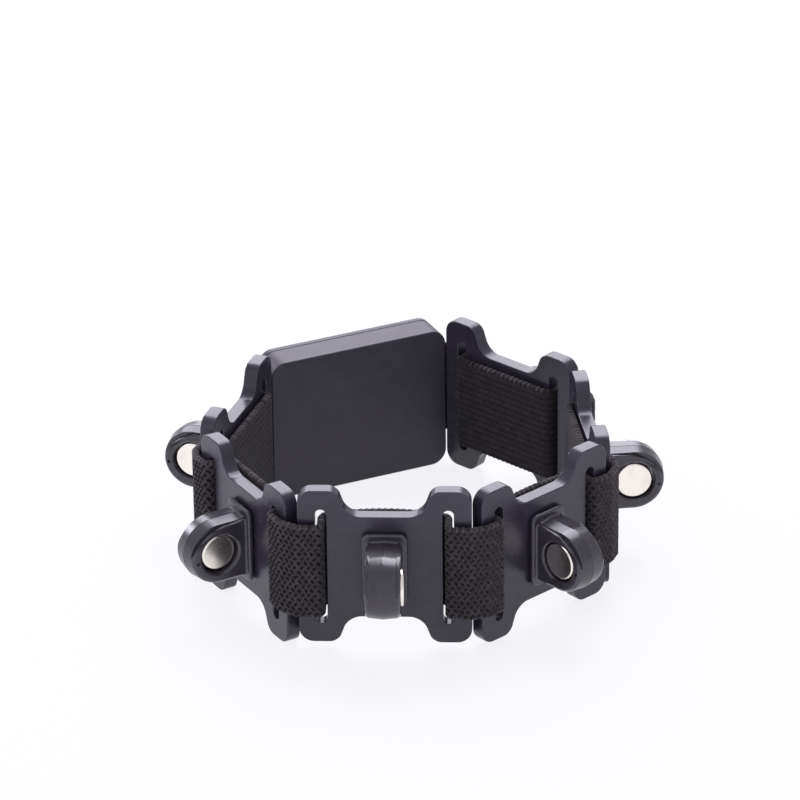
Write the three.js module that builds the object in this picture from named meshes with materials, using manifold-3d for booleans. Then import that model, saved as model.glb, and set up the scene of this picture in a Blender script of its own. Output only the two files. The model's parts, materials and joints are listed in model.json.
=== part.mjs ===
// A wristband that holds hair clips: six plastic link plates and one hollow pad stand in a ring on a
// flat woven elastic band. Each link carries an upright eye lug with a disc magnet pressed through it.
// Millimetres, +Z up, standing on its edge: the origin is the bottom centre of the whole ring.
// Each link and the pad is modelled in its own frame: x along the ring, y up, z outwards, with the
// origin at the bottom of the middle of its inner face.
import * as THREE from "three";
import { mergeVertices } from "three/addons/utils/BufferGeometryUtils.js";
import Module from "manifold-3d";

// Link plate
const PLATE_WIDTH = 28.1;
const PLATE_HEIGHT = 27.5;
const PLATE_THICK = 2.4;
const PLATE_EDGE = 0.3; // chamfer round every edge of the plate
const TAB_CORNER = 2.4; // outer corners of the four tabs
const SHOULDER_RADIUS = 2; // inner, convex corner of a tab
const SHOULDER_RUN = 1.7; // how far a tab's inner side leans over its height
const THROAT_RADIUS = 3; // concave corner where a tab runs into the waist
const NOTCH_DEPTH = 4.65; // how far the waist lies below the tab tops
const NOTCH_FLAT = 7.8; // straight part of the waist
const END_BAR = 2.85; // plate left between a band slot and the plate's end
const SLOT_WIDTH = 1.8;
const SLOT_MARGIN = 3.4; // plate left above and below a band slot

// Eye lug and its magnet
const LUG_REACH = 11.3; // from the plate's outer face to the lug's tip
const LUG_RADIUS = 5.4;
const LUG_DROP = 0.2; // the eye's centre below the middle of the plate
const LUG_THICK = 5.8;
const LUG_EDGE = 0.6;
const STEP_DEPTH = 0.7; // step in each cheek, along the rim from the flange to the tip
const STEP_RADIUS = 7.1; // round of the cheek that the step leaves
const STEP_BACK = 1.5; // the centre of that round behind the eye's
const STEP_BELOW = 2.22; // and below it
const STEP_SLOPE = 4.2; // rise of the step's straight part towards the flange, in degrees
const FLANGE_WIDTH = 7.4;
const FLANGE_HEIGHT = 12.9;
const FLANGE_PROUD = 1.1;
const FLANGE_CORNER = 1.2;
const TENON_WIDTH = 3.2; // the lug's tenon, held in a window through the plate
const TENON_HEIGHT = 9;
const MAGNET_DIAMETER = 6.4;
const MAGNET_RECESS = 0.35; // below each cheek
const MAGNET_EDGE = 0.3;
const MAGNET_FIT = 0.2; // gap round the magnet
const MAGNET_SLIP = { front: 0.9, front_left: -0.5 }; // magnets that sit off the middle of their lug
const HOLE_CHAMFER = 0.35;

// Elastic band
const BAND_HEIGHT = 16.6;
const BAND_RAISE = 1.5; // the band's middle above the middle of a link that stands on the floor
const BAND_THICK = 1.2;
const BAND_GAP = 0.3; // between the band and what it lies on or passes through
const BAND_BEND_RADIUS = 0.95; // centre line radius where the band turns into a slot
const BAND_FOLD_RADIUS = 1.6; // centre line radius over a link's end
const BAND_JOIN = 0.3; // gap between two lengths of the band
const BAND_BEND_STEPS = 5;

// Pad
const PAD_WIDTH = 32.8;
const PAD_HEIGHT = 25.7;
const PAD_DEPTH = 6.4;
const PAD_CORNER = 4;
const PAD_EDGE = 0.5;
const PAD_WALL = 1.5;
const PAD_FLOOR = 1;
const COVER_THICK = 1.2;
const COVER_LIP_DEPTH = 0.8;
const COVER_LIP_WALL = 1;
const PAD_BAND_LEVEL = 2.7; // the band's centre line above the pad's inner face
const PAD_SLOT_PLAY = 0.4; // room on each face of the band in the pad's side slots
const PAD_MAGNET_WIDTH = 13;
const PAD_MAGNET_HEIGHT = 14;
const PAD_MAGNET_THICK = 1.3;
const PAD_MAGNET_CORNER = 1;
const TAIL_INSIDE = 9.5; // length of the sliding band tail inside the pad
const FIXED_END_INSIDE = 6.5; // length of the clamped band end inside the pad
const CLAMP_WIDTH = 2.6;
const CLAMP_HEIGHT = 14;
const CLAMP_CORNER = 0.5;

// Fits and the ring's plan
const SEAT_GAP = 0.2; // between moulded pieces that touch
// Links that hang clear of the floor: their slots leave them room to slide up and down on the band.
const LINK_LIFT = { front: 1.6, front_right: 0.6, back_right: 0.3, left: 0.9 };
// Headings of the outer faces, in degrees counter-clockwise from the front. The headings of the pad
// and of the left link follow, because the ring has to close.
const HEADING = {
  front: -2.3,
  front_right: 42.8,
  right: 97.1,
  back_right: 137.9,
  front_left: -59.3,
};

// Steps of the round shapes
const CORNER_STEPS = 3;
const SMALL_CORNER_STEPS = 2;
const LUG_STEPS = 12;
const ROUND_STEPS = 20;
const MERGE_DISTANCE = 1e-4;

const PLASTIC = { color: 0x2a2930, roughness: 0.42, metalness: 0 };
const PAD_PLASTIC = { color: 0x2c2b31, roughness: 0.5, metalness: 0 };
const ELASTIC = { color: 0x1c1918, roughness: 0.95, metalness: 0 };
const NICKEL = { color: 0xcdc8c0, roughness: 0.22, metalness: 1 };

const wasm = await Module();
wasm.setup();

// A three.js geometry as a solid, and a solid as a geometry.
function solid(geometry) {
  const bare = geometry.clone();
  bare.deleteAttribute("normal");
  bare.deleteAttribute("uv");
  const merged = mergeVertices(bare, MERGE_DISTANCE);
  return new wasm.Manifold(
    new wasm.Mesh({
      numProp: 3,
      vertProperties: merged.attributes.position.array,
      triVerts: new Uint32Array(merged.index.array),
    }),
  );
}

function geometryOf(body) {
  const mesh = body.getMesh();
  const geometry = new THREE.BufferGeometry();
  geometry.setAttribute("position", new THREE.BufferAttribute(mesh.vertProperties, 3));
  geometry.setIndex(new THREE.BufferAttribute(mesh.triVerts, 1));
  const faceted = geometry.toNonIndexed();
  faceted.computeVertexNormals();
  return faceted;
}

function piece(name, geometry, finish) {
  const mesh = new THREE.Mesh(geometry, new THREE.MeshStandardMaterial(finish));
  mesh.name = name;
  return mesh;
}

// The points of a polyline whose corners are rounded, each corner given as [x, y, radius].
function roundedPoints(corners, closed, steps = CORNER_STEPS) {
  const points = [];
  corners.forEach(([x, y, radius], i) => {
    const here = new THREE.Vector2(x, y);
    const isEnd = !closed && (i === 0 || i === corners.length - 1);
    if (isEnd || !radius) {
      points.push(here);
      return;
    }
    const count = corners.length;
    const before = new THREE.Vector2(...corners[(i + count - 1) % count]).sub(here).normalize();
    const after = new THREE.Vector2(...corners[(i + 1) % count]).sub(here).normalize();
    const half = Math.acos(THREE.MathUtils.clamp(before.dot(after), -1, 1)) / 2;
    const centre = before.clone().add(after).normalize().multiplyScalar(radius / Math.sin(half));
    centre.add(here);
    const from = before.multiplyScalar(radius / Math.tan(half)).add(here).sub(centre);
    const to = after.multiplyScalar(radius / Math.tan(half)).add(here).sub(centre);
    const turn = Math.atan2(from.cross(to), from.dot(to));
    for (let k = 0; k <= steps; k++) {
      points.push(from.clone().rotateAround(new THREE.Vector2(), (turn * k) / steps).add(centre));
    }
  });
  return points;
}

// A rectangle with round corners, centred on (x, y).
function roundedRectangle(width, height, radius, x = 0, y = 0, steps = CORNER_STEPS) {
  const corners = [
    [x - width / 2, y - height / 2, radius],
    [x + width / 2, y - height / 2, radius],
    [x + width / 2, y + height / 2, radius],
    [x - width / 2, y + height / 2, radius],
  ];
  return roundedPoints(corners, true, steps);
}

// A slab of an outline with chamfered edges that keep the outline's size, from z = low to z = high.
function slab(outline, low, high, edge = 0, holes = []) {
  const shape = new THREE.Shape(outline);
  shape.holes = holes.map((hole) => new THREE.Path(hole));
  const geometry = new THREE.ExtrudeGeometry(shape, {
    depth: high - low - 2 * edge,
    bevelEnabled: edge > 0,
    bevelSize: edge,
    bevelOffset: -edge,
    bevelThickness: edge,
    bevelSegments: 1,
    curveSegments: 1,
  });
  return geometry.translate(0, 0, low + edge);
}

// Plate: a tall tab on each corner, a waist between them, two band slots and the lug's window.
const SLOT_CENTRE = PLATE_WIDTH / 2 - END_BAR - SLOT_WIDTH / 2;
const MID_HEIGHT = PLATE_HEIGHT / 2;
const LUG_CENTRE_HEIGHT = MID_HEIGHT - LUG_DROP;

function plateOutline() {
  const halfWidth = PLATE_WIDTH / 2;
  const lean = Math.atan2(NOTCH_DEPTH, SHOULDER_RUN);
  const throat = NOTCH_FLAT / 2 + THROAT_RADIUS * Math.tan(lean / 2);
  const quarter = [
    [throat, MID_HEIGHT - NOTCH_DEPTH, THROAT_RADIUS],
    [throat + SHOULDER_RUN, MID_HEIGHT, SHOULDER_RADIUS],
    [halfWidth, MID_HEIGHT, TAB_CORNER],
  ];
  const corners = [];
  for (const [sideX, sideY] of [[1, 1], [-1, 1], [-1, -1], [1, -1]]) {
    const run = quarter.map(([x, y, r]) => [sideX * x, sideY * y + MID_HEIGHT, r]);
    corners.push(...(sideX * sideY > 0 ? run.reverse() : run));
  }
  return roundedPoints(corners, true);
}

function plateGeometry() {
  const slotHeight = PLATE_HEIGHT - 2 * SLOT_MARGIN;
  const slotEnd = SLOT_WIDTH / 2 - MERGE_DISTANCE;
  const slots = [-SLOT_CENTRE, SLOT_CENTRE].map((x) =>
    roundedRectangle(SLOT_WIDTH, slotHeight, slotEnd, x, MID_HEIGHT),
  );
  const lugWindow = roundedRectangle(
    TENON_WIDTH + 2 * SEAT_GAP,
    TENON_HEIGHT + 2 * SEAT_GAP,
    SEAT_GAP,
    0,
    LUG_CENTRE_HEIGHT,
    1,
  );
  return slab(plateOutline(), 0, PLATE_THICK, PLATE_EDGE, [...slots, lugWindow]);
}

// Lug: a flange on the plate, a flat eye standing straight out of it, and a tenon into the plate.
const LUG_EYE = PLATE_THICK + LUG_REACH - LUG_RADIUS; // distance of the eye from the inner face

// Points of an arc about a place on the lug's axis, drawn as (outwards, up).
function arcPoints(centre, radius, from, to, steps) {
  return Array.from({ length: steps + 1 }, (_, k) => {
    const angle = from + ((to - from) * k) / steps;
    return new THREE.Vector2(Math.cos(angle), Math.sin(angle)).multiplyScalar(radius).add(centre);
  });
}

// The side view of the eye, straight from the root to the eye's centre and round beyond it.
function eyeOutline(root) {
  const eye = new THREE.Vector2(LUG_EYE, 0);
  return [
    new THREE.Vector2(root, LUG_RADIUS),
    new THREE.Vector2(root, -LUG_RADIUS),
    ...arcPoints(eye, LUG_RADIUS, -Math.PI / 2, Math.PI / 2, LUG_STEPS),
  ];
}

// The side view of the step: all that lies above the cheek that is left, which is straight from the
// flange to above the eye, then round, and meets the rim at the tip.
function stepOutline() {
  const slope = THREE.MathUtils.degToRad(STEP_SLOPE);
  const centre = new THREE.Vector2(LUG_EYE - STEP_BACK, -STEP_BELOW);
  const round = arcPoints(centre, STEP_RADIUS, 0, Math.PI / 2 - slope, LUG_STEPS);
  const crest = round[LUG_STEPS];
  const root = PLATE_THICK + FLANGE_PROUD;
  const beyond = LUG_EYE + 2 * LUG_RADIUS;
  return [
    ...round,
    new THREE.Vector2(root, crest.y + (crest.x - root) * Math.tan(slope)),
    new THREE.Vector2(root, 2 * LUG_RADIUS),
    new THREE.Vector2(beyond, 2 * LUG_RADIUS),
    new THREE.Vector2(beyond, -STEP_BELOW),
  ];
}

// Turns a side view, drawn as (outwards, up), to stand across the link at the lug's height.
function standAcross(geometry) {
  return geometry.rotateY(-Math.PI / 2).translate(0, LUG_CENTRE_HEIGHT, 0);
}

function roundBar(profile) {
  const lathe = new THREE.LatheGeometry(
    profile.map(([radius, along]) => new THREE.Vector2(radius, along)),
    ROUND_STEPS,
  );
  return lathe.rotateZ(Math.PI / 2).translate(0, LUG_CENTRE_HEIGHT, LUG_EYE);
}

function lugGeometry() {
  const seat = PLATE_THICK + SEAT_GAP;
  const top = PLATE_THICK + FLANGE_PROUD;
  const face = LUG_THICK / 2;
  const eye = slab(eyeOutline(seat), -face, face, LUG_EDGE);
  const steps = [
    slab(stepOutline(), face - STEP_DEPTH, face + STEP_DEPTH),
    slab(stepOutline(), -face - STEP_DEPTH, -face + STEP_DEPTH),
  ];
  const flange = slab(
    roundedRectangle(FLANGE_WIDTH, FLANGE_HEIGHT, FLANGE_CORNER, 0, MID_HEIGHT),
    seat,
    top,
  );
  const tenon = slab(
    roundedRectangle(TENON_WIDTH, TENON_HEIGHT, 0, 0, LUG_CENTRE_HEIGHT),
    SEAT_GAP,
    top,
  );
  const hole = MAGNET_DIAMETER / 2 + MAGNET_FIT;
  const bore = roundBar([
    [0, -face - HOLE_CHAMFER],
    [hole + 2 * HOLE_CHAMFER, -face - HOLE_CHAMFER],
    [hole, -face + HOLE_CHAMFER],
    [hole, face - HOLE_CHAMFER],
    [hole + 2 * HOLE_CHAMFER, face + HOLE_CHAMFER],
    [0, face + HOLE_CHAMFER],
  ]);
  return geometryOf(
    solid(standAcross(eye))
      .subtract(solid(standAcross(steps[0])))
      .subtract(solid(standAcross(steps[1])))
      .add(solid(flange))
      .add(solid(tenon))
      .subtract(solid(bore)),
  );
}

function lugMagnetGeometry(slip = 0) {
  const radius = MAGNET_DIAMETER / 2;
  const half = LUG_THICK / 2 - MAGNET_RECESS;
  const disc = roundBar([
    [0, -half],
    [radius - MAGNET_EDGE, -half],
    [radius, -half + MAGNET_EDGE],
    [radius, half - MAGNET_EDGE],
    [radius - MAGNET_EDGE, half],
    [0, half],
  ]);
  return disc.translate(slip, 0, 0);
}

// Pad: a tub whose floor faces the wrist, a cover with a locating lip, and what they hold.
const PAD_MID = PAD_HEIGHT / 2;
const TUB_TOP = PAD_DEPTH - COVER_THICK - SEAT_GAP;
const BAND_MID = MID_HEIGHT + BAND_RAISE;

function padOutline(inset) {
  return roundedRectangle(
    PAD_WIDTH - 2 * inset,
    PAD_HEIGHT - 2 * inset,
    Math.max(PAD_CORNER - inset, SEAT_GAP),
    0,
    PAD_MID,
  );
}

function padHousingGeometry() {
  const slotHeight = BAND_HEIGHT + 2 * BAND_GAP;
  const slotDepth = BAND_THICK + 2 * PAD_SLOT_PLAY;
  const bandSlots = new THREE.BoxGeometry(PAD_WIDTH + 2 * PAD_WALL, slotHeight, slotDepth);
  bandSlots.translate(0, BAND_MID, PAD_BAND_LEVEL);
  return geometryOf(
    solid(slab(padOutline(0), 0, TUB_TOP + PAD_EDGE, PAD_EDGE))
      .subtract(solid(slab(padOutline(-PAD_WALL), TUB_TOP, PAD_DEPTH)))
      .subtract(solid(slab(padOutline(PAD_WALL), PAD_FLOOR, PAD_DEPTH)))
      .subtract(solid(bandSlots)),
  );
}

function padCoverGeometry() {
  const low = PAD_DEPTH - COVER_THICK;
  const lip = slab(padOutline(PAD_WALL + BAND_GAP), low - COVER_LIP_DEPTH, low + COVER_THICK / 2, 0, [
    padOutline(PAD_WALL + BAND_GAP + COVER_LIP_WALL),
  ]);
  return geometryOf(
    solid(slab(padOutline(0), low - PAD_EDGE, PAD_DEPTH, PAD_EDGE))
      .subtract(solid(slab(padOutline(-PAD_WALL), low - 2 * PAD_EDGE, low)))
      .add(solid(lip)),
  );
}

function padMagnetGeometry() {
  const top = PAD_DEPTH - COVER_THICK - BAND_GAP;
  const outline = roundedRectangle(
    PAD_MAGNET_WIDTH,
    PAD_MAGNET_HEIGHT,
    PAD_MAGNET_CORNER,
    0,
    PAD_MID,
    SMALL_CORNER_STEPS,
  );
  return slab(outline, top - PAD_MAGNET_THICK, top, MAGNET_EDGE);
}

// The clamp bar lies between the clamped band end and the cover, clear of the cover's lip.
function bandClampGeometry() {
  const low = PAD_BAND_LEVEL + BAND_THICK / 2 + BAND_GAP;
  const high = PAD_DEPTH - COVER_THICK - BAND_GAP;
  const middle = -PAD_WIDTH / 2 + PAD_WALL + FIXED_END_INSIDE - CLAMP_WIDTH / 2;
  const outline = roundedRectangle(
    CLAMP_WIDTH,
    CLAMP_HEIGHT,
    CLAMP_CORNER,
    middle,
    PAD_MID,
    SMALL_CORNER_STEPS,
  );
  return slab(outline, low, high);
}

// The ring's plan: the inner edges form a closed polygon with one side for each link and the pad.
const ORDER = ["front", "front_right", "right", "back_right", "pad", "left", "front_left"];
const LINKS = ORDER.filter((name) => name !== "pad");

function ringPlan() {
  const linkSide = PLATE_WIDTH;
  const padSide = PAD_WIDTH;
  const along = (heading, length) =>
    new THREE.Vector2(Math.cos(heading), Math.sin(heading)).multiplyScalar(length);
  const heading = {};
  for (const [name, degrees] of Object.entries(HEADING)) {
    heading[name] = THREE.MathUtils.degToRad(degrees);
  }
  const padStart = new THREE.Vector2();
  for (const name of ORDER.slice(0, 4)) padStart.add(along(heading[name], linkSide));
  const leftEnd = along(heading.front_left, -linkSide);
  const gap = leftEnd.clone().sub(padStart);
  const reach = gap.length();
  const swing = Math.acos((reach ** 2 + padSide ** 2 - linkSide ** 2) / (2 * reach * padSide));
  heading.pad = gap.angle() - swing;
  heading.left = leftEnd.clone().sub(padStart).sub(along(heading.pad, padSide)).angle();
  const plan = {};
  const vertex = new THREE.Vector2();
  for (const name of ORDER) {
    const side = along(heading[name], name === "pad" ? padSide : linkSide);
    const middle = vertex.clone().addScaledVector(side, 0.5);
    plan[name] = { heading: heading[name], middle };
    vertex.add(side);
  }
  return plan;
}

const plan = ringPlan();

// A point of an element's own plan, given along the ring and outwards, in the ring's plan.
function planPoint(name, along, outwards) {
  const { heading, middle } = plan[name];
  return new THREE.Vector2(along, -outwards).rotateAround(new THREE.Vector2(), heading).add(middle);
}

// A length of the elastic: a strip on edge along a centre line in plan.
function bandGeometry(corners) {
  const line = roundedPoints(corners, false, BAND_BEND_STEPS);
  const sides = line.map((point, i) => {
    const before = line[Math.max(i - 1, 0)];
    const after = line[Math.min(i + 1, line.length - 1)];
    const first = point === before ? after.clone().sub(point) : point.clone().sub(before);
    const second = point === after ? point.clone().sub(before) : after.clone().sub(point);
    const bisector = first.normalize().add(second.normalize()).normalize();
    const half = BAND_THICK / 2 / bisector.dot(first);
    return new THREE.Vector2(-bisector.y, bisector.x).multiplyScalar(half);
  });
  const left = line.map((point, i) => point.clone().add(sides[i]));
  const right = line.map((point, i) => point.clone().sub(sides[i])).reverse();
  const low = BAND_MID - BAND_HEIGHT / 2;
  return slab([...right, ...left].reverse(), low, low + BAND_HEIGHT);
}

// Levels of the band's centre line above a link's inner face.
const BAND_INSIDE = -BAND_GAP - BAND_THICK / 2;
const BAND_OUTSIDE = PLATE_THICK + BAND_GAP + BAND_THICK / 2;
const SLOT_MIDDLE = PLATE_THICK / 2;

const corner = (name, along, outwards, radius = 0) => [
  ...planPoint(name, along, outwards).toArray(),
  radius,
];

// The corners of the band from inside a link's slot to over the link's end, on side +1 or -1.
const overEnd = (name, side) => [
  corner(name, side * SLOT_CENTRE, SLOT_MIDDLE + BAND_JOIN / 2),
  corner(name, side * SLOT_CENTRE, BAND_OUTSIDE, BAND_BEND_RADIUS),
  corner(name, (side * PLATE_WIDTH) / 2, BAND_OUTSIDE, BAND_FOLD_RADIUS),
];

// The corners of the band from just outside the pad to a place inside it.
const intoPad = (side, inside) => [
  corner("pad", side * (PAD_WIDTH / 2 + BAND_THICK / 2), PAD_BAND_LEVEL, BAND_FOLD_RADIUS),
  corner("pad", side * (PAD_WIDTH / 2 - inside), PAD_BAND_LEVEL),
];

const innerRun = (name) => [
  corner(name, -SLOT_CENTRE, SLOT_MIDDLE - BAND_JOIN / 2),
  corner(name, -SLOT_CENTRE, BAND_INSIDE, BAND_BEND_RADIUS),
  corner(name, SLOT_CENTRE, BAND_INSIDE, BAND_BEND_RADIUS),
  corner(name, SLOT_CENTRE, SLOT_MIDDLE - BAND_JOIN / 2),
];

const wristband = new THREE.Group();

function elementGroup(name) {
  const turned = new THREE.Group();
  turned.name = name;
  turned.position.set(plan[name].middle.x, plan[name].middle.y, LINK_LIFT[name] ?? 0);
  turned.rotation.z = plan[name].heading;
  const upright = new THREE.Group();
  upright.rotation.x = Math.PI / 2;
  turned.add(upright);
  wristband.add(turned);
  return upright;
}

for (const name of LINKS) {
  elementGroup(name).add(
    piece("link_plate_" + name, plateGeometry(), PLASTIC),
    piece("magnet_lug_" + name, lugGeometry(), PLASTIC),
    piece("lug_magnet_" + name, lugMagnetGeometry(MAGNET_SLIP[name]), NICKEL),
  );
  wristband.add(piece("band_inner_" + name, bandGeometry(innerRun(name)), ELASTIC));
}

elementGroup("pad").add(
  piece("pad_housing", padHousingGeometry(), PAD_PLASTIC),
  piece("pad_cover", padCoverGeometry(), PAD_PLASTIC),
  piece("pad_magnet", padMagnetGeometry(), NICKEL),
  piece("band_clamp", bandClampGeometry(), PAD_PLASTIC),
);

// The outer spans of the band cross from each link to the next.
ORDER.forEach((name, i) => {
  const next = ORDER[(i + 1) % ORDER.length];
  if (name === "pad" || next === "pad") return;
  const corners = [...overEnd(name, 1), ...overEnd(next, -1).reverse()];
  wristband.add(piece("band_outer_" + name + "_to_" + next, bandGeometry(corners), ELASTIC));
});

// At the pad the band runs in through the side walls: one end is clamped, the other one slides.
const clampedSpan = [...overEnd("back_right", 1), ...intoPad(-1, PAD_WALL / 2)];
const slidingTail = [...overEnd("left", -1), ...intoPad(1, TAIL_INSIDE)];
const clampedEnd = [
  corner("pad", -PAD_WIDTH / 2 + PAD_WALL / 2 + BAND_JOIN, PAD_BAND_LEVEL),
  corner("pad", -PAD_WIDTH / 2 + PAD_WALL + FIXED_END_INSIDE, PAD_BAND_LEVEL),
];
wristband.add(
  piece("band_outer_back_right_to_pad", bandGeometry(clampedSpan), ELASTIC),
  piece("band_tail_left_to_pad", bandGeometry(slidingTail), ELASTIC),
  piece("band_end_in_pad", bandGeometry(clampedEnd), ELASTIC),
);

// The whole ring is moved so that the origin is its bottom centre.
const centre = new THREE.Box3().setFromObject(wristband, true).getCenter(new THREE.Vector3());
for (const child of wristband.children) child.position.add(new THREE.Vector3(-centre.x, -centre.y, 0));

export default wristband;
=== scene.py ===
"""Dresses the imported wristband: link plates, eye lugs, magnets, the pad and the woven elastic."""

import json
import math
from contextlib import contextmanager
from types import SimpleNamespace

import bmesh
import bpy
import numpy as np
from bpy.props import FloatProperty, FloatVectorProperty, PointerProperty
from mathutils import Matrix, Quaternion, Vector


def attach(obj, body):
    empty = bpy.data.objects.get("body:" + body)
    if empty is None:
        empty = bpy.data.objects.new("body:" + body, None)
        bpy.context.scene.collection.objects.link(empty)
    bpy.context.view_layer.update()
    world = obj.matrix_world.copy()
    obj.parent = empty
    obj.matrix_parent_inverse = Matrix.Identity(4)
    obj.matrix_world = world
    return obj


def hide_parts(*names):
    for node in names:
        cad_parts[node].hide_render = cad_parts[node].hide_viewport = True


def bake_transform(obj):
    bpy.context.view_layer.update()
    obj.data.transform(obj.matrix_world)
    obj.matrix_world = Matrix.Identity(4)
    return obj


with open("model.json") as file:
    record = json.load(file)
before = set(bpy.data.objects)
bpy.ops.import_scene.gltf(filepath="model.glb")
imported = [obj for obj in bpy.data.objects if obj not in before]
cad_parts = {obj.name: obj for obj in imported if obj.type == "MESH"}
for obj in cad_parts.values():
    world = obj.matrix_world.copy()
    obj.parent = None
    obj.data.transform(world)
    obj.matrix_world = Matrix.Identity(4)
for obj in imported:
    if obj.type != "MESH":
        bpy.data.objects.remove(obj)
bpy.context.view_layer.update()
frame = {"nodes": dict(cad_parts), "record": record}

bl_info = {
    "name": "Clip wristband",
    "version": (1, 0, 0),
    "blender": (4, 5, 0),
    "location": "View3D > Sidebar > Wristband",
    "description": "Makes the links, magnets, pad and elastic of a wristband that holds hair clips",
    "category": "Object",
}

MM = 0.001
ORDER = ("front", "front_right", "right", "back_right", "pad", "left", "front_left")
LINKS = tuple(name for name in ORDER if name != "pad")
LAMPS = {  # where each soft box stands, and its width, in metres
    "top": ((0.12, 0.46, 0.76), 0.48),
    "back": ((-0.1, 1.2, 0.7), 1.0),
    "back_left": ((-0.74, 0.67, 0.33), 0.28),
    "left": ((-1.0, -0.5, 0.5), 0.6),
    "front": ((-0.2, -1.2, 0.7), 1.8),
}
ROOM_TINT = (0.94, 0.92, 1.0)
FLOOR_RADIUS = 3.0  # in metres
SENSOR_WIDTH = 36.0  # of the camera, in mm

SHARP_ANGLE = math.radians(38)  # an edge that turns by more than this is rounded
SMOOTH_ANGLE = math.radians(50)  # shading runs smoothly over an edge that turns by less
CLOTH_ANGLE = math.radians(60)  # the same for the elastic

# Small lengths of the shapes, in millimetres
MAGNET_SLIP = {"front": 0.9, "front_left": -0.5}  # off the middle of the lug, along the ring
BAND_SAG = {  # where the band lies below its usual level on a link
    "front": 0.35,
    "front_right": 0.7,
    "right": 1.0,
    "back_right": 1.7,
    "left": 1.0,
    "pad": 1.7,  # only at its clamped end
}
BAND_BOW = {"front": 1.05, "front_right": 0.8}  # rise of the inner band between its slots
SELVEDGE = 0.6  # margin of the band that its edge loops reach into
FLAT_MARGIN = 0.5  # margin over which the knit and the ribs run out
EDGE_TUCK = 0.28  # how far the band's two faces draw in at its edges
BEVEL_ROOM = 0.01  # left straight at a round end, so that its two roundings stay apart
CUT_OVERLAP = 0.1  # how far the solid that saves a cheek's straight part reaches past the cut
STEP_CLEAR = 0.02  # the step in a cheek starts this far above the flange
STEP_EDGE_START = 0.9  # the step's edge is rounded from here on, above and beyond the eye's centre
DISH_RIM = 0.25  # flat rim of a magnet's dished face
DISH_DEPTH = 0.02  # depth of that dish
DISH_SLOPE = 1.2  # width of its slope
LEAST_CORNER = 0.5  # smallest corner radius inside the pad
FLASH_ROOT = 1.0  # how deep the rib of the parting line sits in the lug's rim
RING_SLACK = 0.03  # how far off a circle its vertices may lie
STEP_SLACK = 0.02  # how far off the step's curve its vertices may lie
LIP_ROOT = 0.3  # how far the lip reaches into the cover

# Shares of other sizes
BAND_LAYERS = (0.25, 0.5, 0.25)  # of the band's thickness, from the wrist outwards
MARK_AT = (0.78, 0.52)  # ejector mark: diameters of it beyond the flange, radii above the eye
PIT_AT = (0.78, -0.12)  # pit in a cheek: radii of the eye beyond and above its centre
YARN_SHARE = 0.7  # square of the cosine at which a yarn of the knit ends and a hole begins
YARN_TOP = 0.84  # height of a yarn where the deepest hole is 0
YARN_LIFT = 0.16  # how far the upper of two crossing yarns rises, and the lower one sinks


# Sizes and colours that a user would change


def size(name, description, millimetres):
    """A length, given in millimetres and kept in metres."""
    return FloatProperty(
        name=name,
        description=description,
        default=millimetres * MM,
        min=0.0,
        unit="LENGTH",
        precision=5,
    )


def number(name, description, value):
    """A plain number, such as a roughness or a strength."""
    return FloatProperty(name=name, description=description, default=value, min=0.0, precision=3)


def colour(name, description, value):
    """A linear colour."""
    return FloatVectorProperty(
        name=name, description=description, default=value, size=3, min=0.0, max=1.0, subtype="COLOR"
    )


def place(name, description, millimetres):
    """A point in the part's frame, given in millimetres."""
    return FloatVectorProperty(
        name=name,
        description=description,
        default=[value * MM for value in millimetres],
        size=3,
        subtype="TRANSLATION",
        unit="LENGTH",
    )


def angle(name, description, degrees):
    """An angle, given in degrees."""
    return FloatProperty(
        name=name, description=description, default=math.radians(degrees), subtype="ANGLE"
    )


class PlateSizes(bpy.types.PropertyGroup):
    """Sizes of a link plate"""

    width: size("Width", "Along the ring", 28.1)
    height: size("Height", "From the lower tabs to the upper ones", 27.5)
    thickness: size("Thickness", "Through the plate", 2.4)
    edge: size("Edge", "Rounding of the plate's edges", 0.26)
    tab_corner: size("Tab corner", "Radius of a tab's outer corner", 2.4)
    shoulder: size("Shoulder", "Radius of a tab's inner corner", 2.0)
    shoulder_run: size("Shoulder run", "How far a tab's inner side leans", 1.7)
    throat: size("Throat", "Radius where a tab runs into the waist", 3.0)
    notch_depth: size("Notch depth", "From the tab tops down to the waist", 4.65)
    notch_flat: size("Notch flat", "Straight part of the waist", 7.8)
    end_bar: size("End bar", "Plate left outside a band slot", 2.85)
    slot_width: size("Slot width", "Width of a band slot", 1.8)
    slot_margin: size("Slot margin", "Plate left above and below a slot", 3.4)


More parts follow.
